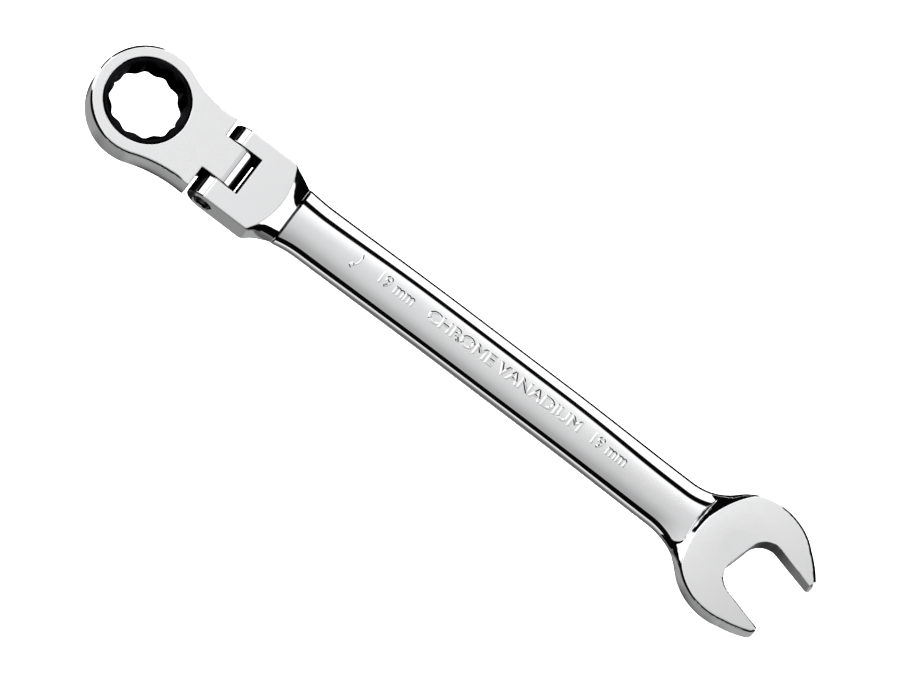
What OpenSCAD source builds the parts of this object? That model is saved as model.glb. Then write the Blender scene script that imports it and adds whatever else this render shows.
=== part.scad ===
// Combination ratchet wrench, 19 mm, with a hinged twelve-point ratchet head and an angled open jaw.
// Millimetres. Origin on the ratchet gear's axis at mid-thickness, +X along the shank towards the
// open jaw, +Z out of the upper face. Each module is one physical piece, drawn where it works.

/* [Size] */
// Width across flats of the fastener that both ends fit
size_af = 19; // [17:0.5:19]
// Distance from the ratchet axis to the hinge pin's axis
pin_x = 28.6; // [27:0.1:30]
// Distance from the ratchet axis to the open jaw's centre
jaw_x = 205.3; // [150:0.1:260]

/* [Ratchet head] */
// Outer radius of the ratchet ring
ring_r = 15.8; // [15.8:0.1:18]
// Thickness of the ratchet head
head_t = 10; // [9.6:0.1:12]
// Half the width of the neck behind the ring
neck_half = 11.8; // [11:0.1:12]
// Radius that blends the ring into the neck
neck_blend_r = 45; // [40:1:46]

/* [Gear] */
// Teeth around the gear
gear_teeth = 72; // [72]
// Radius over the gear's teeth
gear_tip_r = 13.6; // [13.6]
// Depth of the gear's teeth
tooth_depth = 0.36; // [0.3:0.01:0.4]
// Radius of the gear's front journal
journal_r = 12.12; // [12:0.01:12.14]
// Length of the gear along its axis
gear_h = 10.2; // [10:0.1:12]

/* [Flex joint] */
// Half the width of the clevis
clevis_half = 11.7; // [11:0.1:13]
// Thickness of the clevis, and diameter of its rounded ears
clevis_t = 10.4; // [10.2:0.1:12]
// Half the width of the slot between the ears
slot_half = 6; // [6:0.1:6.5]
// Half the width of the head's tang
tang_half = 5.65; // [5:0.05:5.7]
// Radius of the pivot screw's shank
pin_r = 2; // [1.5:0.1:2]

/* [Shank] */
// Width of the shank
shank_w = 17.5; // [16:0.1:18]
// Thickness of the shank at the crown of its faces
shank_t = 7.4; // [6:0.1:8]

/* [Open jaw] */
// Angle of the jaw's opening to the shank
jaw_angle = 15; // [15]
// Clearance of the opening over the fastener's width across flats
jaw_play = 0.15; // [0.05:0.05:0.3]
// Thickness of the jaw
jaw_t = 8.6; // [7.6:0.1:9.6]
// Outer radius of the jaw around its root
jaw_r = 18.8; // [18:0.1:20]

/* [Hidden] */
$fn = 96;

chrome = [0.80, 0.81, 0.82];
black_oxide = [0.07, 0.07, 0.08];
spring_steel = [0.42, 0.43, 0.45];
run_play = 0.08;                     // radial play of the gear in its housing
past = 1;                            // how far a cutter runs past the face it opens

// Ratchet head
head_half_t = head_t / 2;
shoulder_x = pin_x - 5.9;            // where the neck ends in front of the ears
tang_end_r = head_half_t;            // round end of the tang, about the pin
neck_end_x = 21.7;                     // where the blend has become the straight neck
chamber_r = gear_tip_r + run_play;
front_bore_r = journal_r + run_play;
front_lip = 1.6;                     // thickness of the lip that the gear's front journal turns in
clip_r = 14.45;                      // outer radius of the retaining ring
clip_bore_r = 12.35;
clip_t = 0.85;
groove_t = 1;
groove_z = -4.5;                     // lower side of the retaining ring's groove
groove_r = clip_r + 0.15;

// Gear
gear_face_z = gear_h / 2;
teeth_top = head_half_t - front_lip - 0.15;
teeth_bottom = groove_z + groove_t + 0.1;
tooth_step = 360 / gear_teeth;
root_r = gear_tip_r - tooth_depth;
socket_play = 0.1;                   // clearance of the socket over the fastener's flats
socket_r = (size_af / 2 + socket_play / 2) / cos(30);
socket_tip_r = socket_r - 0.12;      // the socket's corners are rounded off
lead_in = 0.5;                       // chamfer at each end of the socket

// Pawl: it slides at 45 degrees to the line of centres, against the spring
slide_angle = 45;
pawl_gap = 0.04;                     // radial clearance of the teeth in mesh
pawl_teeth = 5;
pawl_half_h = 3;
pawl_stroke = 0.8;
pawl_play = 0.05;
pawl_tip_r = root_r + pawl_gap;
pawl_span = pawl_teeth * tooth_step / 2;
pawl_far_t = pawl_tip_r * sin(-pawl_span - slide_angle);
pawl_near_t = pawl_tip_r * sin(pawl_span - slide_angle);
pawl_back_s = pawl_tip_r * cos(pawl_span - slide_angle) + 1;
pocket_back_s = pawl_back_s + pawl_stroke + 0.1;
spring_t = (pawl_far_t + pawl_near_t) / 2;
spring_r = 1;
spring_wire_r = 0.18;
spring_bore_r = spring_r + spring_wire_r + 0.1;
spring_seat = 1.2;                   // depth of the spring's blind hole in the pawl
spring_bore_end = pocket_back_s + 3.2;
spring_start = pawl_back_s - spring_seat + 0.02;
spring_turns = 5;

// Flex joint
ear_r = clevis_t / 2;
slot_end_x = pin_x + 6.1;
washer_t = 0.29;
washer_r = 4.6;
washer_y = (tang_half + slot_half) / 2;
screw_head_r = 2.75;
counterbore_r = 2.95;
counterbore_depth = 2.8;
screw_head_h = 2.2;
screw_tip_y = clevis_half - 0.4;
socket_af = 2.5;
socket_depth = 1.5;
turn_play = 0.06;                    // radial play of the tang on the screw

// Shank and the slopes that join it to its ends
shank_half = shank_w / 2;
block_half = shank_half - 0.06;
shank_from = 45;
shank_sides = 48;
root_blend_r = 15;                   // blends the shank's sides into the jaw
clevis_blend_r = 30;                 // and into the clevis
clevis_root_x = pin_x + 26.4;        // where the clevis's blend has become the straight shank
slope = 0.38;                        // rise over run of the slopes at the ends of the shank
clevis_arc_x = pin_x - 2.4;          // centre and radius of the arc that ends the clevis's faces
clevis_arc_r = 19.6;
jaw_arc_u = 9;
jaw_arc_r = 23.6;

// Open jaw, in its own axes: u along the opening, v across it
jaw_y = -0.8;
jaw_half_t = jaw_t / 2;
gap_half = (size_af + jaw_play) / 2;
throat_u = -1.8;
throat_r = 5.07;
arm_r = 32;                          // outer radius of the arms, about a centre past the other arm
arm_u = -3.5;
arm_offset = arm_r - jaw_r - 0.4;
tip_u = 17.2;

function polar(r, a) = [r * cos(a), r * sin(a)];

// A block's blend: fills the corner between the shank's side and a disc, on the +Y or -Y side.
module root_web(side, disc_x, disc_y, disc_r, half, blend_r) {
    rise = side * (half + blend_r) - disc_y;
    run = sqrt(pow(disc_r + blend_r, 2) - rise * rise);
    centre = [disc_x - run, side * (half + blend_r)];
    k = disc_r / (disc_r + blend_r);
    touch = [disc_x + k * (centre[0] - disc_x), disc_y + k * (centre[1] - disc_y)];
    difference() {
        polygon([[centre[0], 0], [centre[0], side * half], touch, [disc_x, disc_y]]);
        translate(centre) circle(r = blend_r);
    }
}

// Two mirrored cones: flat out to flat_r at the faces, then falling to nothing at mid-thickness.
module face_cone(flat_r, half_t) {
    low_r = flat_r + half_t / slope;
    for (m = [0, 1]) mirror([0, 0, m]) cylinder(h = half_t, r1 = low_r, r2 = flat_r);
}

module along_y(r, y_from, y_to) {
    translate([pin_x, y_from, 0]) rotate([-90, 0, 0]) cylinder(r = r, h = y_to - y_from);
}

module slab(half_t) {
    translate([0, 0, -half_t]) linear_extrude(2 * half_t) children();
}

// --- Handle: clevis, shank and open jaw, forged in one piece ---

module clevis_outline() {
    difference() {
        translate([pin_x - ear_r, -clevis_half]) square([clevis_root_x - pin_x + ear_r, 2 * clevis_half]);
        for (side = [-1, 1])
            translate([clevis_root_x, side * (block_half + clevis_blend_r)]) circle(r = clevis_blend_r);
    }
    translate([clevis_root_x - 4, -block_half]) square([14, 2 * block_half]);
}

module clevis() {
    intersection() {
        slab(ear_r) clevis_outline();
        union() {
            along_y(ear_r, -clevis_half, clevis_half);
            translate([pin_x, -clevis_half, -ear_r]) cube([40, 2 * clevis_half, clevis_t]);
        }
        translate([clevis_arc_x, 0, 0]) face_cone(clevis_arc_r, ear_r);
    }
}

module shank() {
    translate([shank_from, 0, 0]) rotate([90, 0, 90])
        linear_extrude(jaw_x - jaw_r / 2 - shank_from)
            polygon([for (i = [0 : shank_sides - 1])
                [shank_half * cos(i * 360 / shank_sides), shank_t / 2 * sin(i * 360 / shank_sides)]]);
}

module jaw_outline() {
    translate([jaw_x, jaw_y]) rotate(-jaw_angle) {
        circle(r = jaw_r);
        intersection() {
            translate([arm_u, arm_offset]) circle(r = arm_r);
            translate([arm_u, -arm_offset]) circle(r = arm_r);
            translate([0, -jaw_r]) square([tip_u, 2 * jaw_r]);
        }
    }
    for (side = [-1, 1]) root_web(side, jaw_x, jaw_y, jaw_r, block_half, root_blend_r);
    translate([jaw_x - 28, -block_half]) square([14, 2 * block_half]);
}

module throat() {
    translate([jaw_x, jaw_y]) rotate(-jaw_angle) {
        corner_u = throat_u + throat_r;
        for (side = [-1, 1]) translate([corner_u, side * (gap_half - throat_r)]) circle(r = throat_r);
        translate([throat_u, throat_r - gap_half]) square([throat_r, 2 * (gap_half - throat_r)]);
        translate([corner_u, -gap_half]) square([tip_u, 2 * gap_half]);
    }
}

module jaw() {
    intersection() {
        slab(jaw_half_t) jaw_outline();
        translate([jaw_x, jaw_y, 0]) rotate(-jaw_angle) translate([jaw_arc_u, 0, 0])
            face_cone(jaw_arc_r, jaw_half_t);
    }
}

module handle() {
    color(chrome) difference() {
        union() {
            clevis();
            shank();
            jaw();
        }
        translate([pin_x - 2 * ear_r, -slot_half, -clevis_t])
            cube([slot_end_x - pin_x + 2 * ear_r, 2 * slot_half, 2 * clevis_t]);
        along_y(pin_r + 0.03, -clevis_half - past, clevis_half + past);
        along_y(counterbore_r, -clevis_half - past, -clevis_half + counterbore_depth);
        slab(jaw_t) throat();
    }
}

// --- Ratchet head ---

module head_outline() {
    circle(r = ring_r);
    blend_y = neck_half + neck_blend_r;
    reach = ring_r / (ring_r + neck_blend_r);
    difference() {
        polygon([[0, 0], [reach * neck_end_x, reach * blend_y], [neck_end_x, neck_half],
            [shoulder_x, neck_half], [shoulder_x, -neck_half], [neck_end_x, -neck_half],
            [reach * neck_end_x, -reach * blend_y]]);
        for (side = [-1, 1]) translate([neck_end_x, side * blend_y]) circle(r = neck_blend_r);
    }
}

module along_slide(s, t) {
    rotate(slide_angle) translate([s, t, 0]) children();
}

module pawl_pocket() {
    along_slide(6, pawl_far_t - pawl_play) translate([0, 0, -pawl_half_h - 0.15])
        cube([pocket_back_s - 6, pawl_near_t - pawl_far_t + 2 * pawl_play, 2 * pawl_half_h + 0.3]);
    along_slide(pocket_back_s - past, spring_t) rotate([0, 90, 0])
        cylinder(r = spring_bore_r, h = spring_bore_end - pocket_back_s + past);
}

module ratchet_head() {
    color(chrome) difference() {
        union() {
            slab(head_half_t) head_outline();
            translate([shoulder_x - 1, -tang_half, -head_half_t])
                cube([pin_x - shoulder_x + 1, 2 * tang_half, head_t]);
            along_y(tang_end_r, -tang_half, tang_half);
        }
        translate([0, 0, -head_half_t - past]) cylinder(r = chamber_r, h = head_t - front_lip + past);
        cylinder(r = front_bore_r, h = head_half_t + past);
        translate([0, 0, groove_z]) cylinder(r = groove_r, h = groove_t);
        pawl_pocket();
        along_y(pin_r + turn_play, -tang_half - past, tang_half + past);
    }
}

// --- Ratchet works ---

module gear_profile() {
    polygon([for (i = [0 : gear_teeth - 1]) each
        [polar(gear_tip_r, i * tooth_step), polar(root_r, (i + 0.5) * tooth_step)]]);
}

module twelve_point() {
    intersection() {
        for (turn = [0, 30]) rotate(turn) circle(r = socket_r, $fn = 6);
        circle(r = socket_tip_r);
    }
}

module ratchet_gear() {
    color(black_oxide) difference() {
        union() {
            translate([0, 0, -gear_face_z]) cylinder(r = journal_r, h = gear_h);
            translate([0, 0, teeth_bottom]) linear_extrude(teeth_top - teeth_bottom) gear_profile();
        }
        slab(gear_h) twelve_point();
        for (m = [0, 1]) mirror([0, 0, m]) translate([0, 0, gear_face_z - lead_in])
            cylinder(h = lead_in + 0.1, r1 = socket_tip_r - lead_in, r2 = socket_tip_r + 0.1);
    }
}

// Spring ring in the groove behind the gear, open where the pawl is
module gear_retaining_ring() {
    color(spring_steel) translate([0, 0, groove_z + (groove_t - clip_t) / 2]) difference() {
        cylinder(r = clip_r, h = clip_t);
        translate([0, 0, -past]) cylinder(r = clip_bore_r, h = clip_t + 2 * past);
        translate([clip_bore_r - 2, -3, -past]) cube([6, 6, clip_t + 2 * past]);
    }
}

module pawl() {
    teeth = [for (i = [-pawl_teeth : pawl_teeth])
        polar(i % 2 == 0 ? gear_tip_r + pawl_gap : pawl_tip_r, i * tooth_step / 2 - slide_angle)];
    color(spring_steel) rotate(slide_angle) difference() {
        slab(pawl_half_h)
            polygon(concat(teeth, [[pawl_back_s, pawl_near_t], [pawl_back_s, pawl_far_t]]));
        translate([pawl_back_s - spring_seat, spring_t, 0]) rotate([0, 90, 0])
            cylinder(r = spring_bore_r, h = spring_seat + past);
    }
}

// Compression spring between the pawl and the blind end of its bore, as one sweep of the wire
module pawl_spring() {
    length = spring_bore_end - spring_start - 2 * spring_wire_r - 0.04;
    steps = 16 * spring_turns;
    sides = 8;
    rings = [for (i = [0 : steps]) let (a = 360 * spring_turns * i / steps)
        [for (j = [0 : sides - 1]) let (b = 360 * j / sides, r = spring_r + spring_wire_r * cos(b))
            [length * i / steps + spring_wire_r * sin(b), r * cos(a), r * sin(a)]]];
    color(spring_steel) along_slide(spring_start + spring_wire_r + 0.02, spring_t) polyhedron(
        points = [for (ring = rings) each ring],
        faces = concat(
            [[for (j = [0 : sides - 1]) j]],
            [for (i = [0 : steps - 1], j = [0 : sides - 1]) let (k = (j + 1) % sides)
                [i * sides + j, (i + 1) * sides + j, (i + 1) * sides + k, i * sides + k]],
            [[for (j = [sides - 1 : -1 : 0]) steps * sides + j]]));
}

// --- Flex joint ---

module pivot_screw() {
    head_y = -clevis_half + counterbore_depth;
    color(black_oxide) difference() {
        union() {
            along_y(pin_r, head_y - 0.5, screw_tip_y);
            along_y(screw_head_r, head_y - screw_head_h, head_y);
        }
        translate([pin_x, head_y - screw_head_h - past, 0]) rotate([-90, 0, 0])
            cylinder(r = socket_af / 2 / cos(30), h = socket_depth + past, $fn = 6);
    }
}

module friction_washer(side) {
    color(spring_steel) difference() {
        along_y(washer_r, side * washer_y - washer_t / 2, side * washer_y + washer_t / 2);
        along_y(pin_r + 0.1, side * washer_y - washer_t, side * washer_y + washer_t);
    }
}

module near_friction_washer() friction_washer(-1);

module far_friction_washer() friction_washer(1);

handle();
ratchet_head();
ratchet_gear();
gear_retaining_ring();
pawl();
pawl_spring();
pivot_screw();
near_friction_washer();
far_friction_washer();
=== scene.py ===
"""Looks of the flex-head combination ratchet wrench: polished forgings, black gear, studio light.

The two forgings are carved as distance fields, in millimetres, and meshed with their true normals,
so that the mirror finish reflects as a polished forging does. Everything else is built in metres.
"""

import math

import bmesh
import bpy
import numpy as np
from mathutils import Matrix, Vector


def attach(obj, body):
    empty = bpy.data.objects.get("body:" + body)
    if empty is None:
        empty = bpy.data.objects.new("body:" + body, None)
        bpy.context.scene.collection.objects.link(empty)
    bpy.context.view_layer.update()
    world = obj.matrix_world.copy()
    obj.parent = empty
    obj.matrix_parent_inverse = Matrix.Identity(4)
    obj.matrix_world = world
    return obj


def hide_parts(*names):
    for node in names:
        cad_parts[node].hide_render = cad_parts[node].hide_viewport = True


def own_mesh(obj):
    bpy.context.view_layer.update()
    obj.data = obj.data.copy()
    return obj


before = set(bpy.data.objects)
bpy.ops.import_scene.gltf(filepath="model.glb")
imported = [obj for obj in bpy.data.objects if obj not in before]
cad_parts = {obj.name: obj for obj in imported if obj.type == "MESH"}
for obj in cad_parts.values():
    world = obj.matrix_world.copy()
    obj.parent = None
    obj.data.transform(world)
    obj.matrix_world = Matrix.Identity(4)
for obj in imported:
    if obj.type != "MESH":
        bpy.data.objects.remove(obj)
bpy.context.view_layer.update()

MM = 0.001

# ---------------------------------------------------------------- sizes, in millimetres

PIN_X = 28.6  # from the socket's axis to the hinge pin
BEVEL_ANGLE = math.radians(33)  # of the bevelled edges, off the face
FINE_EDGE, CRISP_EDGE = 0.1, 0.12  # roundings that only break an edge
FORGE_FILLET = 0.2  # where the shank meets the clevis and the jaw

# Ratchet head: the ring and the neck lie a little off the shank's line, and pass into one another
RING_R, RING_WIDEN, HEAD_T, NECK_HALF, NECK_BLEND_R = 15.7, 0.015, 9.98, 12.05, 45.0
RING_Y, NECK_Y, RING_TO_NECK = -0.22, -0.5, (2, 13)
RING_BARREL, NECK_BARREL, RING_BEVEL_W, NECK_BEVEL_W = 0.04, 0.25, 0.6, 0.1
SHOULDER_X, SHOULDER_EDGE, TANG_HALF, TANG_R, TANG_ROOT_X, TANG_FILLET = 22.7, 0.3, 5.65, 4.99, 15, 0.7
FRONT_BORE_R, BORE_EDGE, CHAMBER_R, CHAMBER_TOP = 12.2, 0.3, 13.68, 3.4
GROOVE_R, GROOVE_LOW, GROOVE_HIGH = 14.6, -4.5, -3.5
PIN_BORE_R, PIN_EDGE = 2.06, 0.25
POCKET_T, POCKET_HALF, POCKET_HALF_H, POCKET_START, POCKET_END = -9.25, 2.1, 3.15, 6, 13.17
SPRING_BORE_R, SPRING_BORE_END = 1.28, 16.37

# Clevis: flat faces end in an arc, and slopes fall from there to the shank; its sides flare
CLEVIS_HALF, CLEVIS_T, CLEVIS_Y, CLEVIS_EDGE, EAR_EDGE = 11.9, 10.38, -0.6, 0.6, 0.5
FLARE_X, FLARE_R, FLARE_RUN, FLARE_STEP = 58.5, 46.0, 20, 0.6
CLEVIS_ARC_X, CLEVIS_ARC_R, CLEVIS_SLOPE = 24.0, 22.0, 0.46
CROWN_FAR, CROWN_NEAR = 0.026, 0.006
ROOT_EDGE_FAR, ROOT_EDGE_NEAR = 1.2, 2.8
SLOT_HALF, SLOT_END_X, SLOT_BULGE, SLOT_EDGE = 6.0, 34.7, 0.8, 0.22
HINGE_BORE_R, HINGE_EDGE, COUNTERBORE_R, COUNTERBORE_Y = 2.03, 0.2, 2.95, -8.9

# Shank: a superellipse in section, flatter in the middle of its length, where it also bows
SHANK_HALF, SHANK_B, SHANK_POWER, SHANK_FLATTER, BOW = 8.78, 3.69, 1.9, 0.28, 0.42
PANEL_START, PANEL_END, PANEL_EDGE = 50.6, 188.0, 0.15
NEAR_ROOT_R, FAR_ROOT_R = 22.0, 17.0

# Open jaw: domed faces end in an arc, and slopes fall from there into a valley and to the shank
JAW_X, JAW_Y, JAW_T, JAW_R = 205.3, -0.8, 8.58, 18.77
JAW_ANGLE = math.radians(-15)
JAW_ARC_X, JAW_ARC_Y, JAW_ARC_R, JAW_SLOPE = 215.2, -2.5, 24.9, 0.76
VALLEY_Z, VALLEY_SLOPE, VALLEY_FILLET, VALLEY_FROM = 2.75, 0.36, 0.3, 170
JAW_BARREL, JAW_DOME, DOME_R2, THROAT_DRAFT = 0.1, 0.0016, 40, 0.03
ARM_ROLL, ARM_ROLL_W, FLAT_ROLL, FLAT_ROLL_W = 0.2, 0.9, 0.28, 0.6
JAW_ROOT_EDGE_FAR, JAW_ROOT_EDGE_NEAR, JAW_BEVEL_W, OUTSIDE_BEVEL_W = 1.6, 2.2, 0.05, 0.5
GAP_HALF, THROAT_U, THROAT_R = 9.575, -1.8, 5.7
ARM_R, ARM_U, TIP_U, TIP_R = 32.0, -3.5, 17.15, 1.0
ARM_OFFSET = math.sqrt(ARM_R**2 - ARM_U**2) - JAW_R

# Gear: face, teeth, and the socket with its mouth's wide chamfer
GEAR_TEETH, GEAR_TIP_R, GEAR_ROOT_R, JOURNAL_R = 72, 13.6, 13.24, 12.12
GEAR_FACE_Z, TEETH_TOP, TEETH_BOTTOM = 5.1, 3.25, -3.4
SOCKET_FLAT_R, SOCKET_TIP_R, LOBE_EASE, TIP_EASE = 9.5, 10.7, 0.5, 0.25
MOUTH_R, MOUTH_W, MOUTH_DEPTH, MOUTH_RIM_R = 11.3, 1.7, 0.75, 11.45
JOURNAL_CHAMFER, JOURNAL_BREAK, TOOTH_CHAMFER = 0.3, 0.1, 0.2

# ---------------------------------------------------------------- distance fields


def cut(a, b, r=0.0):
    """The intersection of two fields, with its edge rounded to radius r."""
    return np.minimum(-r, np.maximum(a, b)) + np.hypot(np.maximum(a + r, 0), np.maximum(b + r, 0))


def bevelled(a, b, width, r):
    """The intersection of a side a and a face b, rounded to r, with a bevel 33 degrees off the face."""
    slant = (a + width) * math.sin(BEVEL_ANGLE) + b * math.cos(BEVEL_ANGLE)
    return cut(cut(a, b, r), slant, FINE_EDGE)


def weld(a, b, r):
    """The union of two fields, with a smooth fillet about r wide."""
    h = np.maximum(r - np.abs(a - b), 0) / r
    return np.minimum(a, b) - h * h * r * 0.25


def ease(x, start, end):
    """From 0 at start to 1 at end, without a corner."""
    t = np.clip((x - start) / (end - start), 0, 1)
    return t * t * (3 - 2 * t)


def fade(x, start, end):
    """From 1 at start to 0 at end, without a corner."""
    return ease(-x, -end, -start)


def box2(a, b):
    """A rectangle's corner, as two side fields: true distance outside."""
    return np.minimum(np.maximum(a, b), 0) + np.hypot(np.maximum(a, 0), np.maximum(b, 0))


def blend_centre(disc_x, disc_y, disc_r, half, blend_r):
    """Where the arc's centre lies that blends a straight side at y = half into a disc further along x."""
    rise = half + blend_r - disc_y
    run = math.sqrt((disc_r + blend_r) ** 2 - rise**2)
    return disc_x - run, run, rise


def blended_side(x, y, disc_x, disc_y, disc_r, half, blend_r):
    """In plan, on the side where y is positive: a straight side, then the blend's arc, then the disc."""
    centre_x, run, rise = blend_centre(disc_x, disc_y, disc_r, half, blend_r)
    dx, dy = x - centre_x, half + blend_r - y
    blend = blend_r - np.hypot(dx, dy)
    disc = np.hypot(x - disc_x, y - disc_y) - disc_r
    return np.where(dx <= 0, y - half, np.where(dx * rise < dy * run, blend, disc))


def blended_half(x, disc_x, disc_y, disc_r, half, blend_r):
    """Half the width along x of the straight side and its blend."""
    centre_x = blend_centre(disc_x, disc_y, disc_r, half, blend_r)[0]
    dx = np.clip(x - centre_x, 0, blend_r * 0.8)
    return half + blend_r - np.sqrt(blend_r**2 - dx**2)


def face_slope(x, y, z, half_t, centre, flat_r, slope):
    """Flat faces at half_t out to flat_r about the centre, then falling away at the slope."""
    over = np.maximum(np.hypot(x - centre[0], y - centre[1]) - flat_r, 0)
    return (np.abs(z) - half_t + slope * over) / math.sqrt(1 + slope**2)


def head_field(x, y, z):
    at_neck = ease(x, *RING_TO_NECK)
    across = np.abs(y - RING_Y - (NECK_Y - RING_Y) * at_neck) / (1 + RING_WIDEN * (1 - at_neck))
    neck = blended_side(-x, across, 0, 0, RING_R, NECK_HALF, NECK_BLEND_R)
    barrel = RING_BARREL + NECK_BARREL * at_neck
    neck = cut(neck + barrel * (2 * z / HEAD_T) ** 2, x - SHOULDER_X, SHOULDER_EDGE)
    tang = np.maximum(np.abs(y) - TANG_HALF, TANG_ROOT_X - x)
    plan = weld(neck, tang, TANG_FILLET)
    faces = np.where(x < PIN_X, np.abs(z) - TANG_R, np.hypot(x - PIN_X, z) - TANG_R)
    bevel = NECK_BEVEL_W + (RING_BEVEL_W - NECK_BEVEL_W) * fade(x, 19, SHOULDER_X)
    body = bevelled(plan, faces, bevel, FINE_EDGE)

    axis_r = np.hypot(x, y)
    body = cut(body, FRONT_BORE_R - axis_r, BORE_EDGE)
    body = cut(body, -np.maximum(axis_r - CHAMBER_R, z - CHAMBER_TOP), CRISP_EDGE)
    groove_mid, groove_half = (GROOVE_LOW + GROOVE_HIGH) / 2, (GROOVE_HIGH - GROOVE_LOW) / 2
    body = np.maximum(body, -box2(axis_r - GROOVE_R, np.abs(z - groove_mid) - groove_half))

    # the pawl's pocket and its spring's bore run along s, at 45 degrees to the neck
    s, t = (x + y) / math.sqrt(2), (y - x) / math.sqrt(2)
    pocket = np.maximum(np.abs(t - POCKET_T) - POCKET_HALF, np.abs(z) - POCKET_HALF_H)
    pocket = np.maximum(pocket, s - POCKET_END)
    body = np.maximum(body, -np.maximum(pocket, POCKET_START - s))
    spring_bore = np.maximum(np.hypot(t - POCKET_T, z) - SPRING_BORE_R, s - SPRING_BORE_END)
    body = np.maximum(body, -np.maximum(spring_bore, POCKET_START - s))
    return cut(body, PIN_BORE_R - np.hypot(x - PIN_X, z), PIN_EDGE)


def jaw_axes(x, y):
    """Along the jaw's opening and across it, from the jaw's centre."""
    c, s = math.cos(JAW_ANGLE), math.sin(JAW_ANGLE)
    dx, dy = x - JAW_X, y - JAW_Y
    return dx * c + dy * s, dy * c - dx * s


def jaw_sag(x, y):
    """How far the jaw's domed faces lie below its full thickness."""
    u, v = jaw_axes(x, y)
    return JAW_DOME * np.maximum((u + 2) ** 2 + v**2 - DOME_R2, 0)


def throat_field(u, v):
    """The gap between the flats, round at its root: negative inside the gap."""
    left, up = THROAT_U + THROAT_R - u, np.abs(v) - (GAP_HALF - THROAT_R)
    root = box2(left, up) - THROAT_R
    return np.where(left < 0, np.abs(v) - GAP_HALF, root)


def flare(x):
    """How much wider the shank's sides are where they spread into the clevis."""
    run = np.clip(FLARE_X - x, 0, FLARE_RUN)
    return FLARE_R - np.sqrt(FLARE_R**2 - run**2) + FLARE_STEP * fade(x, 42, 45)


def middle(x):
    """Where the handle's middle runs: the shank bows a little towards +Y."""
    return CLEVIS_Y * fade(x, 42, 56) + BOW * ease(x, 50, 105) * fade(x, 140, 182)


def section_power(x):
    """The superellipse's power: higher, so with flatter faces, along the middle of the shank."""
    return SHANK_POWER + SHANK_FLATTER * ease(x, 56, 92) * fade(x, 140, 176)


def clevis_field(x, y, z):
    off = y - middle(x)
    across = np.abs(off)
    plan = cut(across - CLEVIS_HALF, across - SHANK_HALF - flare(x), CLEVIS_EDGE)
    ears = np.where(x < PIN_X, np.hypot(x - PIN_X, z), np.abs(z)) - CLEVIS_T / 2
    crown = np.where(off > 0, CROWN_FAR, CROWN_NEAR) * off**2 * ease(x, 45, 51)
    slopes = face_slope(x, y, z, CLEVIS_T / 2 - crown, (CLEVIS_ARC_X, 0), CLEVIS_ARC_R, CLEVIS_SLOPE)
    root_r = np.where(off > 0, ROOT_EDGE_FAR * ease(x, 47, 52), ROOT_EDGE_NEAR * ease(x, 42, 46.5))
    body = cut(plan, cut(ears, slopes, CRISP_EDGE), EAR_EDGE + root_r)
    slot_end = SLOT_END_X - SLOT_BULGE * (1 - (2 * z / CLEVIS_T) ** 2)
    return cut(body, -np.maximum(np.abs(y) - SLOT_HALF, x - slot_end), SLOT_EDGE)


def jaw_field(x, y, z, far_side, near_side):
    u, v = jaw_axes(x, y)
    arms = np.maximum(np.hypot(u - ARM_U, v - ARM_OFFSET), np.hypot(u - ARM_U, v + ARM_OFFSET)) - ARM_R
    arms = np.where(u < 0, np.hypot(u, v) - JAW_R, np.minimum(arms, np.hypot(u, v) - JAW_R))
    root = np.where(y > 0, blended_side(x, y, *far_side), blended_side(x, -y, *near_side))
    outline = np.minimum(arms, np.maximum(root, VALLEY_FROM - x))
    outline = cut(outline, u - TIP_U, TIP_R)
    throat = throat_field(u, v) + THROAT_DRAFT * z * ease(v, 0, 6)
    at_outside = ease(-throat - outline, 1.5, -1.5)
    plan = cut(outline + JAW_BARREL * (2 * z / JAW_T) ** 2, -throat, TIP_R)

    centre = (JAW_ARC_X, JAW_ARC_Y)
    slopes = face_slope(x, y, z, JAW_T / 2, centre, JAW_ARC_R, JAW_SLOPE)
    far_arm = np.where(y > 0, ease(x, 203, 206), 0)
    roll = ARM_ROLL * np.maximum(outline + ARM_ROLL_W, 0) * far_arm
    roll = roll + FLAT_ROLL * np.maximum(FLAT_ROLL_W - throat, 0) * fade(y, -9.5, -7)
    faces = cut(np.abs(z) - JAW_T / 2 + jaw_sag(x, y) + roll, slopes, CRISP_EDGE)
    foot_r = JAW_ARC_R + (JAW_T / 2 - VALLEY_Z) / JAW_SLOPE
    valley = face_slope(x, y, z, VALLEY_Z, centre, foot_r, VALLEY_SLOPE)
    far_edge, near_edge = JAW_ROOT_EDGE_FAR * fade(x, 191, 197), JAW_ROOT_EDGE_NEAR * fade(x, 187, 193)
    at_root = np.where(y > 0, far_edge, near_edge)
    top = weld(faces, valley, VALLEY_FILLET)
    bevel = JAW_BEVEL_W + OUTSIDE_BEVEL_W * at_outside * (1 - far_arm)
    return bevelled(plan, top, bevel, CRISP_EDGE + at_root * at_outside)


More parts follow.
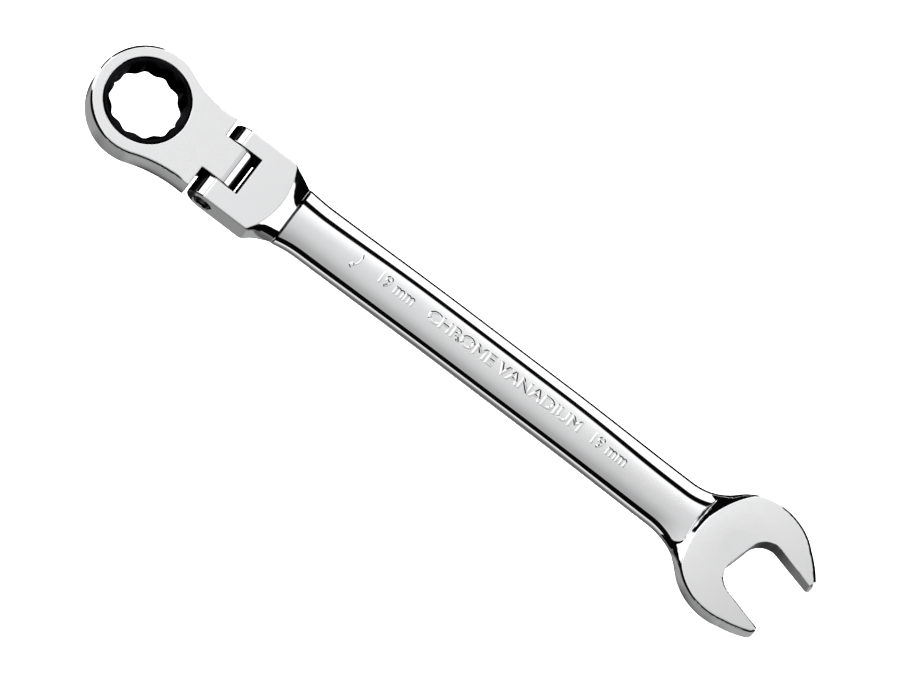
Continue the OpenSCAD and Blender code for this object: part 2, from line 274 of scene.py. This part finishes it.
def handle_field(x, y, z):
    far_side = (JAW_X, JAW_Y, JAW_R, SHANK_HALF, FAR_ROOT_R)
    near_side = (JAW_X, -JAW_Y, JAW_R, SHANK_HALF, NEAR_ROOT_R)
    off = y - middle(x)
    half = np.where(off > 0, blended_half(x, *far_side), blended_half(x, *near_side)) + flare(x)
    power = section_power(x)
    across, up = np.abs(off) / half + 1e-9, np.abs(z) / SHANK_B + 1e-9
    q = (across**power + up**power) ** (1 / power)
    steepness = np.hypot(across ** (power - 1) / half, up ** (power - 1) / SHANK_B) * q ** (1 - power)
    shank = (q - 1) / steepness
    crown = SHANK_B * np.maximum(1 - across**power, 0) ** (1 / power)
    start = PANEL_START - x + np.abs(z) - crown
    end = x - PANEL_END + np.abs(z) - SHANK_B
    shank = cut(shank, np.maximum(start, end) / math.sqrt(2), PANEL_EDGE)

    body = weld(shank, clevis_field(x, y, z), FORGE_FILLET)
    body = weld(body, jaw_field(x, y, z, far_side, near_side), FORGE_FILLET)
    pin_r = np.hypot(x - PIN_X, z)
    body = cut(body, HINGE_BORE_R - pin_r, HINGE_EDGE)
    return cut(body, -np.maximum(pin_r - COUNTERBORE_R, y - COUNTERBORE_Y), PIN_EDGE)


# ---------------------------------------------------------------- meshing a field


def gradient(field, p, step=0.02):
    g = np.empty_like(p)
    for k in range(3):
        shift = np.zeros(3)
        shift[k] = step
        g[:, k] = (field(*(p + shift).T) - field(*(p - shift).T)) / (2 * step)
    return g


def carve(name, field, low, high, cell, long_from=None, long_to=None, long_cell=1.2):
    """Meshes the zero surface of a field, in millimetres, with its true normals.

    Between long_from and long_to, where the form hardly changes along X, the cells are longer.
    """
    axes = [np.arange(low[k], high[k] + cell, cell) for k in range(3)]
    if long_from:
        ends, steps = (low[0], long_from, long_to, high[0] + cell), (cell, long_cell, cell)
        axes[0] = np.concatenate([np.arange(*span) for span in zip(ends, ends[1:], steps)])
    count = [len(a) for a in axes]
    values = np.empty(count)
    for i, x in enumerate(axes[0]):
        y, z = np.meshgrid(axes[1], axes[2], indexing="ij")
        values[i] = field(np.full(y.shape, x), y, z)
    inside = values < 0

    # one vertex in each cell that the surface crosses, at the mean of its edge crossings
    total = np.zeros([c - 1 for c in count] + [3])
    hits = np.zeros([c - 1 for c in count])
    for k in range(3):
        ends = [slice(None)] * 3
        starts = [slice(None)] * 3
        starts[k], ends[k] = slice(0, -1), slice(1, None)
        a, b = values[tuple(starts)], values[tuple(ends)]
        crossed = (a < 0) != (b < 0)
        t = np.where(crossed, a / np.where(crossed, a - b, 1), 0)
        others = [m for m in range(3) if m != k]
        for p in (0, 1):
            for q in (0, 1):
                sl = [slice(None)] * 3
                sl[others[0]] = slice(p, count[others[0]] - 1 + p)
                sl[others[1]] = slice(q, count[others[1]] - 1 + q)
                c, s = crossed[tuple(sl)], t[tuple(sl)]
                total[..., k] += np.where(c, s, 0)
                total[..., others[0]] += c * p
                total[..., others[1]] += c * q
                hits += c
    cells = hits > 0
    index = np.full(cells.shape, -1)
    index[cells] = np.arange(cells.sum())
    place = np.argwhere(cells) + total[cells] / hits[cells][:, None]
    points = np.stack([np.interp(place[:, k], np.arange(count[k]), axes[k]) for k in range(3)], 1)
    for _ in range(4):
        g = gradient(field, points)
        d = field(*points.T)
        move = g * (d / np.maximum((g * g).sum(1), 0.2))[:, None]
        points -= np.clip(move, -cell / 2, cell / 2)

    # one face across each grid edge that the surface crosses
    faces = []
    for k in range(3):
        m, n = (k + 1) % 3, (k + 2) % 3
        starts = [slice(1, -1)] * 3
        ends = [slice(1, -1)] * 3
        starts[k], ends[k] = slice(0, -1), slice(1, None)
        a, b = inside[tuple(starts)], inside[tuple(ends)]
        at = np.argwhere(a != b)
        out = a[tuple(at.T)]
        at = at + 1
        at[:, k] -= 1
        corner = []
        for dm, dn in ((0, 0), (1, 0), (1, 1), (0, 1)):
            c = at.copy()
            c[:, m] -= dm
            c[:, n] -= dn
            corner.append(index[tuple(c.T)])
        quads = np.stack(corner, 1)
        quads[~out] = quads[~out][:, ::-1]
        faces.append(quads)
    faces = np.concatenate(faces)

    mesh = bpy.data.meshes.new(name)
    mesh.from_pydata((points * MM).tolist(), [], faces.tolist())
    mesh.shade_smooth()
    normals = gradient(field, points)
    normals /= np.linalg.norm(normals, axis=1)[:, None]
    mesh.normals_split_custom_set_from_vertices(normals.tolist())
    return mesh, points, normals


def add_object(name, mesh, body, material, slot, *nodes):
    obj = bpy.data.objects.new(name, mesh)
    bpy.context.scene.collection.objects.link(obj)
    obj.data.materials.append(material)
    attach(obj, body)
    if nodes:
        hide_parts(*nodes)
    return obj


def set_satin(mesh, points, normals, half_thickness):
    """Marks the ground flat faces, which are satin beside the polished edges."""
    flat = np.clip((np.abs(normals[:, 2]) - 0.985) / 0.012, 0, 1)
    on_face = np.clip((np.abs(points[:, 2]) - half_thickness + 0.06) / 0.04, 0, 1)
    satin = mesh.attributes.new("satin", "FLOAT", "POINT")
    satin.data.foreach_set("value", flat * on_face)


def set_painted_shade(mesh, amount):
    """Marks the recesses and slopes where shade is painted in, by darkening the chrome there."""
    mesh.attributes.new("painted_shade", "FLOAT", "POINT").data.foreach_set("value", np.clip(amount, 0, 1))


# ---------------------------------------------------------------- materials


class Nodes:
    """Short names for building one material's node tree."""

    def __init__(self, name):
        self.material = bpy.data.materials.new(name)
        self.material.use_nodes = True
        self.tree = self.material.node_tree
        self.shader = self.tree.nodes["Principled BSDF"]

    def add(self, kind, **inputs):
        node = self.tree.nodes.new(kind)
        for key, value in inputs.items():
            if hasattr(node, key) and key not in node.inputs:
                setattr(node, key, value)
            else:
                self.feed(node.inputs[key], value)
        return node

    def feed(self, socket, value):
        if hasattr(value, "is_output"):
            self.tree.links.new(value, socket)
        else:
            socket.default_value = value

    def noise(self, scale, detail=3.0, stretch=(1, 1, 1)):
        place = self.add("ShaderNodeTexCoord").outputs["Object"]
        mapped = self.add("ShaderNodeMapping", Vector=place, Scale=stretch).outputs[0]
        return self.add("ShaderNodeTexNoise", Vector=mapped, Scale=scale, Detail=detail).outputs["Fac"]

    def spread(self, value, low, high, start=0.3, end=0.7):
        node = self.add("ShaderNodeMapRange", Value=value)
        for key, v in (("From Min", start), ("From Max", end), ("To Min", low), ("To Max", high)):
            node.inputs[key].default_value = v
        return node.outputs[0]

    def mix(self, fac, a, b):
        node = self.add("ShaderNodeMix", data_type="FLOAT")
        self.feed(node.inputs[0], fac)
        self.feed(node.inputs[2], a)
        self.feed(node.inputs[3], b)
        return node.outputs[0]

    def mix_colour(self, fac, a, b):
        node = self.add("ShaderNodeMix", data_type="RGBA")
        self.feed(node.inputs[0], fac)
        self.feed(node.inputs[6], a)
        self.feed(node.inputs[7], b)
        return node.outputs[2]

    def bump(self, height, distance, strength=1.0):
        return self.add("ShaderNodeBump", Height=height, Distance=distance, Strength=strength).outputs[0]

    def set(self, **inputs):
        for key, value in inputs.items():
            self.feed(self.shader.inputs[key.replace("_", " ")], value)
        return self.material


def forged_chrome(name):
    """Mirror chrome on the polished forms, satin on the ground faces, with faint polishing marks and
    painted shade in the recesses.
    """
    n = Nodes(name)
    satin = n.add("ShaderNodeAttribute", attribute_name="satin").outputs["Fac"]
    painted_shade = n.add("ShaderNodeAttribute", attribute_name="painted_shade").outputs["Fac"]
    cloud = n.noise(260, 4)
    grain = n.noise(2600, 2)
    haze = n.noise(90, 3, (0.25, 1, 1))
    polished = n.spread(haze, 0.025, 0.055)
    ground = n.spread(cloud, 0.19, 0.23)
    rough = n.mix(satin, polished, ground)
    tint = n.mix_colour(satin, (0.86, 0.865, 0.875, 1), (0.84, 0.842, 0.85, 1))
    shade = n.mix_colour(n.spread(cloud, 0.0, 0.35), tint, (0.80, 0.803, 0.81, 1))
    # painted shade: the colour goes near black where the recesses are marked
    shade = n.mix_colour(painted_shade, shade, (0.03, 0.03, 0.034, 1))
    height = n.mix(satin, n.spread(haze, 0.0, 0.02), n.spread(grain, 0.0, 0.2))
    normal = n.bump(height, 0.00002)
    # painted shade: the edge tint goes dark there too
    edge = n.mix_colour(painted_shade, (1, 1, 1, 1), (0.1, 0.1, 0.1, 1))
    return n.set(Base_Color=shade, Metallic=1.0, Roughness=rough, Normal=normal, Specular_Tint=edge)


def dark_steel(name, colour, low, high, grain=900, stretch=(1, 1, 1), depth=0.00002):
    """Blackened, phosphated or ground steel, with a fine grain and a slightly uneven film."""
    n = Nodes(name)
    film = n.noise(220, 4)
    fine = n.noise(grain, 3, stretch)
    bright = tuple(min(1.0, c * 1.8 + 0.01) for c in colour) + (1,)
    shade = n.mix_colour(n.spread(film, 0.0, 0.6), colour + (1,), bright)
    rough = n.spread(fine, low, high)
    return n.set(Base_Color=shade, Metallic=1.0, Roughness=rough, Normal=n.bump(fine, depth, 0.5))


CHROME = forged_chrome("chrome_plate")
GEAR_BLACK = dark_steel("black_oxide", (0.004, 0.004, 0.005), 0.16, 0.3)
GEAR_SHADER = GEAR_BLACK.node_tree.nodes["Principled BSDF"]
GEAR_SHADER.inputs["Specular Tint"].default_value = (0.12, 0.12, 0.13, 1)  # black at a glance too
RING_STEEL = dark_steel("phosphated_spring_steel", (0.10, 0.10, 0.105), 0.35, 0.5)
PAWL_STEEL = dark_steel("ground_tool_steel", (0.32, 0.32, 0.33), 0.2, 0.32, 1500, (1, 1, 0.1))
WIRE_STEEL = dark_steel("spring_wire", (0.5, 0.5, 0.51), 0.15, 0.25)
SCREW_STEEL = dark_steel("blackened_screw", (0.06, 0.06, 0.065), 0.3, 0.45)
WASHER_STEEL = dark_steel("washer_steel", (0.45, 0.45, 0.46), 0.2, 0.3)

# ---------------------------------------------------------------- the two forgings

mesh, points, normals = carve("handle_forging", handle_field, (22.8, -20.6, -5.7), (225.4, 19.6, 5.7),
                              0.275, 57.0, 179.0)
jaw_half_t = JAW_T / 2 - jaw_sag(points[:, 0], points[:, 1])
set_satin(mesh, points, normals, np.where(points[:, 0] < 100, CLEVIS_T / 2, jaw_half_t))
px, py, pz = points.T
# Painted shade: the chrome is darkened at the ear ends, the slot walls, the throat and the panel's two
# ends.
ear_ends = fade(px, 25.5, 26.0) * (np.abs(pz) < 4.9)
slot_walls = (np.abs(py) < SLOT_HALF + 0.05) * (px < SLOT_END_X + 0.1) * fade(np.abs(pz), 5.05, 5.19)
panel_start = fade(np.abs(px - PANEL_START + 0.2), 0.3, 0.5) * fade(np.abs(py), 7.4, 8.4)
panel_end = ease(normals[:, 0], 0.2, 0.45) * (px > 186.5) * (px < 190) * ease(py, -1, 1)
u, v = jaw_axes(px, py)
throat = (np.abs(throat_field(u, v)) < 0.3) * (px > 190) * (np.abs(normals[:, 2]) < 0.2)
throat = throat * fade(u, -1, 13) * ease(v, -1, 4)
set_painted_shade(mesh, np.maximum.reduce([0.85 * ear_ends, slot_walls, 0.8 * throat, panel_start, panel_end]))
add_object("handle_forging", mesh, "handle", CHROME, "forged_chrome", "handle")

mesh, points, normals = carve("head_forging", head_field, (-16.4, -16.6, -5.5), (34.3, 16.4, 5.5), 0.24)
set_satin(mesh, points, normals, HEAD_T / 2)
px, py, pz = points.T
# Painted shade: the chrome is darkened on the tang's end and sides and at the shoulder.
tang_end = ease(px, 31.7, 32.3)
shoulder = ease(normals[:, 0], 0.5, 0.9) * (px > SHOULDER_X - 0.4) * (px < SHOULDER_X + 0.5)
tang_sides = ease(np.abs(normals[:, 1]), 0.5, 0.8) * (px > SHOULDER_X) * (np.abs(pz) < 4.7)
set_painted_shade(mesh, np.maximum.reduce([tang_end, 0.9 * shoulder, tang_sides]))
add_object("head_forging", mesh, "head", CHROME, "forged_chrome_head", "ratchet_head")

# ---------------------------------------------------------------- marks on the shank

MARK_RISE = 0.225  # their flanks are this much of 45 degrees
STROKE_R, STROKE_INSET, SLICE = 0.34, 0.12, 0.4
CAP_HEIGHT, CAP_OF_SIZE = 3.4, 0.72


def raise_on_shank(name, curve, start_x, middle_y, width):
    """A raised mark that follows the crown of the shank's upper face, from start_x along the shank."""
    source = bpy.data.objects.new(name, curve)
    bpy.context.scene.collection.objects.link(source)
    bpy.context.view_layer.update()
    mesh = bpy.data.meshes.new_from_object(source.evaluated_get(bpy.context.evaluated_depsgraph_get()))
    bpy.data.objects.remove(source)
    form = bmesh.new()
    form.from_mesh(mesh)
    for level in np.arange(-3, 3, SLICE):
        everything = form.verts[:] + form.edges[:] + form.faces[:]
        bmesh.ops.bisect_plane(form, geom=everything, plane_co=(0, level, 0), plane_no=(0, 1, 0))
    first, last = min(v.co.x for v in form.verts), max(v.co.x for v in form.verts)
    for v in form.verts:
        x, y, z = v.co
        y += middle_y
        x = start_x + (x - first) * width / (last - first)
        power = float(section_power(x))
        crown = SHANK_B * (1 - abs((y - float(middle(x))) / SHANK_HALF) ** power) ** (1 / power)
        v.co = Vector((x, y, crown + MARK_RISE * z)) * MM
    form.to_mesh(mesh)
    form.free()
    mesh.materials.clear()
    mesh.shade_smooth()
    mesh.set_sharp_from_angle(angle=math.radians(7))
    return add_object(name, mesh, "handle", CHROME, "forged_chrome")


def raised_words(name, words, start_x, width, middle_y=0.4):
    curve = bpy.data.curves.new(name, "FONT")
    curve.body, curve.size, curve.align_y = words, CAP_HEIGHT / CAP_OF_SIZE, "CENTER"
    curve.extrude, curve.bevel_depth, curve.bevel_resolution, curve.resolution_u = 0.02, STROKE_R, 0, 5
    curve.offset = -STROKE_INSET
    return raise_on_shank(name, curve, start_x, middle_y, width)


def raised_arrow(name, start_x, width, middle_y):
    """A small curved arrow, for the way the socket drives."""
    curve = bpy.data.curves.new(name, "CURVE")
    curve.dimensions, curve.bevel_depth, curve.bevel_resolution = "3D", STROKE_R, 0
    bend = [(2.9 * math.cos(a), 2.9 * math.sin(a) + 0.9) for a in np.radians(np.arange(-78, 42, 8))]
    tail = bend[0]
    head = [(tail[0] + 0.7, tail[1] + 1.0), tail, (tail[0] + 1.0, tail[1] - 0.5)]
    for line in (bend, head):
        spline = curve.splines.new("POLY")
        spline.points.add(len(line) - 1)
        for point, (x, y) in zip(spline.points, line):
            point.co = (x, y, 0, 1)
    curve.use_fill_caps = True
    return raise_on_shank(name, curve, start_x, middle_y, width)


raised_arrow("turn_arrow", 70.4, 2.6, 0.0)
raised_words("size_mark_head_end", "19 mm", 79.5, 11.7)
raised_words("steel_mark", "CHROME VANADIUM", 96.0, 52.0)
raised_words("size_mark_jaw_end", "19 mm", 152.0, 11.7)

# ---------------------------------------------------------------- gear


def hexagon(angle):
    return SOCKET_FLAT_R / np.cos((angle + math.pi / 6) % (math.pi / 3) - math.pi / 6)


def socket_radius(angle):
    """The twelve-point socket: two hexagons 30 degrees apart, with eased corners and lobes."""
    a, b = hexagon(angle), hexagon(angle + math.pi / 6)
    both = np.maximum(a, b)
    both = both + np.maximum(LOBE_EASE - np.abs(a - b), 0) ** 2 * 0.5
    h = np.maximum(TIP_EASE - np.abs(both - SOCKET_TIP_R), 0) / TIP_EASE
    return np.minimum(both, SOCKET_TIP_R) - h * h * 0.06


def tooth_radius(angle):
    wave = np.abs((angle * GEAR_TEETH / (2 * math.pi)) % 1 - 0.5) * 2
    return GEAR_ROOT_R + (GEAR_TIP_R - GEAR_ROOT_R) * wave


def build_gear():
    samples = GEAR_TEETH * 12
    angle = np.arange(samples) * 2 * math.pi / samples
    socket, teeth, even = socket_radius(angle), tooth_radius(angle), np.ones(samples)
    loops = []
    for sign in (1, -1):
        half = []
        for t in np.linspace(1, 0, 6):
            half.append((GEAR_FACE_Z - MOUTH_DEPTH * t, np.maximum(socket, MOUTH_R - MOUTH_W * t)))
        half.append((GEAR_FACE_Z, MOUTH_RIM_R * even))
        half.append((GEAR_FACE_Z, (JOURNAL_R - JOURNAL_CHAMFER) * even))
        half.append((GEAR_FACE_Z - JOURNAL_BREAK, (JOURNAL_R - JOURNAL_BREAK) * even))
        half.append((GEAR_FACE_Z - JOURNAL_CHAMFER, JOURNAL_R * even))
        shelf = TEETH_TOP if sign > 0 else -TEETH_BOTTOM
        half.append((shelf, JOURNAL_R * even))
        half.append((shelf, teeth - TOOTH_CHAMFER))
        half.append((shelf - TOOTH_CHAMFER, teeth))
        if sign < 0:
            half.reverse()
        loops += [(sign * z, r) for z, r in half]
    points = np.concatenate([
        np.stack([r * np.cos(angle), r * np.sin(angle), np.full(samples, z)], 1) for z, r in loops])
    faces = []
    for i in range(len(loops)):
        j = (i + 1) % len(loops)
        for k in range(samples):
            m = (k + 1) % samples
            faces.append((i * samples + k, i * samples + m, j * samples + m, j * samples + k))
    mesh = bpy.data.meshes.new("gear")
    mesh.from_pydata((points * MM).tolist(), [], faces)
    mesh.shade_smooth()
    mesh.set_sharp_from_angle(angle=math.radians(32))
    return mesh


add_object("gear", build_gear(), "gear", GEAR_BLACK, "black_oxide_gear", "ratchet_gear")

# ---------------------------------------------------------------- pawl spring


def build_spring(start, end, coil_r, wire_r, turns):
    """A compression spring along the pawl's slide, with its end coils closed."""
    steps, sides = int(turns * 40), 14
    travel = end - start - 2 * wire_r
    verts, faces = [], []
    for i in range(steps + 1):
        t = i / steps
        pitch = start + wire_r + travel * np.interp(t, (0, 0.16, 0.84, 1), (0, 0.06, 0.94, 1))
        a = 2 * math.pi * turns * t
        for j in range(sides):
            b = 2 * math.pi * j / sides
            r = coil_r + wire_r * math.cos(b)
            s, across, up = pitch + wire_r * math.sin(b), r * math.cos(a), r * math.sin(a)
            t_axis = POCKET_T + across
            verts.append(((s - t_axis) / math.sqrt(2) * MM, (s + t_axis) / math.sqrt(2) * MM, up * MM))
    for i in range(steps):
        for j in range(sides):
            k = (j + 1) % sides
            faces.append((i * sides + j, i * sides + k, (i + 1) * sides + k, (i + 1) * sides + j))
    faces.append(tuple(range(sides)))
    faces.append(tuple(steps * sides + j for j in reversed(range(sides))))
    mesh = bpy.data.meshes.new("return_spring")
    mesh.from_pydata(verts, [], faces)
    mesh.shade_smooth()
    mesh.set_sharp_from_angle(angle=math.radians(60))
    return mesh


SPRING_START, SPRING_END = 11.06, 16.28
coil = build_spring(SPRING_START, SPRING_END, coil_r=0.98, wire_r=0.18, turns=6)
spring = add_object("return_spring", coil, "head", WIRE_STEEL, "spring_wire", "pawl_spring")
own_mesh(spring)

# ---------------------------------------------------------------- pieces kept from the CAD model

KEPT = {"gear_retaining_ring": RING_STEEL, "pawl": PAWL_STEEL, "pivot_screw": SCREW_STEEL,
        "near_friction_washer": WASHER_STEEL, "far_friction_washer": WASHER_STEEL}
for node, material in KEPT.items():
    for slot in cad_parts[node].material_slots:
        slot.material = material

# ---------------------------------------------------------------- stage: floor, light tent, camera

TENT_R = 5.0
DARK, CARD = 0.002, 1.4  # brightness of the tent's dark gaps and of its side cards
# Brightness of the tent by angle from straight up, in degrees, positive towards +Y
TENT = [(-180, 0.04), (-176, 0.04), (-170, 0.1), (-162, 0.3), (-150, 0.38), (-140, 0.15), (-125, 0.12),
        (-105, 0.16), (-90, 0.25), (-78, 0.5), (-72, 0.95), (-62.5, 0.95), (-61.5, DARK), (-36, DARK),
        (-35, 0.55), (-32, 0.44), (-20, 0.5), (0, 0.74), (17, 0.85), (25, 0.98), (36, 1.25), (39.5, 1.25),
        (40.3, DARK), (50.8, DARK), (51.6, 1.5), (92, 1.5), (95, DARK), (170, 0.02), (180, 0.04)]


def glow(dx, dy, dz):
    """Brightness of the tent in a direction: a soft overhead box, dark gaps beside it, and side cards."""
    angle = np.degrees(np.arctan2(dy, dz))
    value = np.interp(angle, [a for a, _ in TENT], [v for _, v in TENT])

    # overhead, brighter towards -X; below, brighter towards both ends
    along = np.interp(dx, (-0.3, -0.1, 0, 0.15, 0.4), (2.0, 1.35, 1.0, 0.88, 0.8))
    value = np.where(np.abs(angle) < 40, value * along, value)
    below = np.abs(angle) > 145
    value = np.where(below, value + np.clip((-0.16 - dx) / 0.1, 0, 1) * (0.36 - value), value)
    value = np.where(below, value + np.clip((dx - 0.1) / 0.1, 0, 1) * (0.4 - value), value)

    # dark ends, with cards in them
    right_card = (dx > 0.54) & (dx < 0.92) & (dy > 0.0) & (dy < 0.5)
    left_card = (dx > -0.81) & (dx < -0.29) & (dy > 0.0) & (dy < 0.5)
    end_card = (dx < -0.81) & (np.abs(dy - 0.08) < 0.19)
    cards = right_card | left_card | end_card
    ends = (dz > np.where(np.abs(dx) > 0.8, -0.3, 0)) & ((dx > 0.47) | (dx < -0.23))
    far_right = (dy > 0.45) & (dx > 0.28) & (dz > -0.4)
    return np.where(ends | far_right, np.where(cards, CARD, DARK), value)


def build_tent():
    around = np.radians(np.arange(-180, 180, 1.0))
    along = np.radians(np.arange(-90, 91, 1.0))
    a, b = np.meshgrid(around, along, indexing="ij")
    direction = np.stack([np.sin(b), np.cos(b) * np.sin(a), np.cos(b) * np.cos(a)], -1).reshape(-1, 3)
    wide, tall = len(along), len(around)
    faces = [(i * wide + j, i * wide + j + 1, (i + 1) % tall * wide + j + 1, (i + 1) % tall * wide + j)
             for i in range(tall) for j in range(wide - 1)]
    mesh = bpy.data.meshes.new("light_tent")
    mesh.from_pydata((TENT_R * direction).tolist(), [], faces)
    mesh.attributes.new("glow", "FLOAT", "POINT").data.foreach_set("value", glow(*direction.T))
    n = Nodes("light_tent")
    n.tree.nodes.remove(n.shader)
    strength = n.add("ShaderNodeAttribute", attribute_name="glow").outputs["Fac"]
    shine = n.add("ShaderNodeEmission", Strength=strength)
    n.tree.links.new(shine.outputs[0], n.tree.nodes["Material Output"].inputs[0])
    mesh.materials.append(n.material)
    return mesh


def add_stage():
    tent = bpy.data.objects.new("light_tent", build_tent())
    bpy.context.scene.collection.objects.link(tent)
    tent.visible_camera = tent.visible_diffuse = tent.visible_shadow = False

    floor_z = -(PIN_X + RING_R) * MM - 0.001  # clear of the head when it hangs straight down
    reach = 20.0
    mesh = bpy.data.meshes.new("floor")
    mesh.from_pydata([(-reach, -reach, floor_z), (reach, -reach, floor_z), (reach, reach, floor_z),
                      (-reach, reach, floor_z)], [], [(0, 1, 2, 3)])
    n = Nodes("pale_floor")
    shade = n.mix_colour(n.noise(3, 2), (0.93, 0.93, 0.93, 1), (0.96, 0.96, 0.96, 1))
    mesh.materials.append(n.set(Base_Color=shade, Roughness=0.9))
    floor = bpy.data.objects.new("floor", mesh)
    bpy.context.scene.collection.objects.link(floor)
    floor.visible_glossy = False

    world = bpy.data.worlds.new("studio")
    world.use_nodes = True
    world.node_tree.nodes["Background"].inputs[0].default_value = (1, 1, 1, 1)
    world.node_tree.nodes["Background"].inputs[1].default_value = 3.2
    bpy.context.scene.world = world

    lamp = bpy.data.lights.new("overhead", "AREA")
    lamp.shape, lamp.size, lamp.energy = "DISK", 2.0, 10
    obj = bpy.data.objects.new("overhead", lamp)
    obj.location = (0.1, 0.5, 2.0)
    obj.rotation_euler = (Vector((0.1, 0, 0)) - obj.location).to_track_quat("-Z", "Y").to_euler()
    obj.visible_glossy = False
    bpy.context.scene.collection.objects.link(obj)
    bpy.context.scene.view_settings.view_transform = "Standard"


def add_camera():
    tilt, roll = math.radians(17.8), math.radians(37.2)
    lens, sensor, width = 900.0, 36.0, 0.2452
    aim = Vector((104.6, -0.2, 0)) * MM
    along = Vector((1, 0, 0))
    across = Vector((0, math.cos(tilt), math.sin(tilt)))
    right = along * math.cos(roll) + across * math.sin(roll)
    up = across * math.cos(roll) - along * math.sin(roll)
    back = right.cross(up)
    camera = bpy.data.objects.new("camera", bpy.data.cameras.new("camera"))
    camera.data.lens, camera.data.sensor_width = lens, sensor
    camera.data.clip_start, camera.data.clip_end = 0.1, 200
    place = Matrix((right, up, back)).transposed().to_4x4()
    place.translation = aim + back * (width * lens / sensor)
    camera.matrix_world = place
    bpy.context.scene.collection.objects.link(camera)
    bpy.context.scene.camera = camera


add_stage()
add_camera()

bpy.context.view_layer.update()
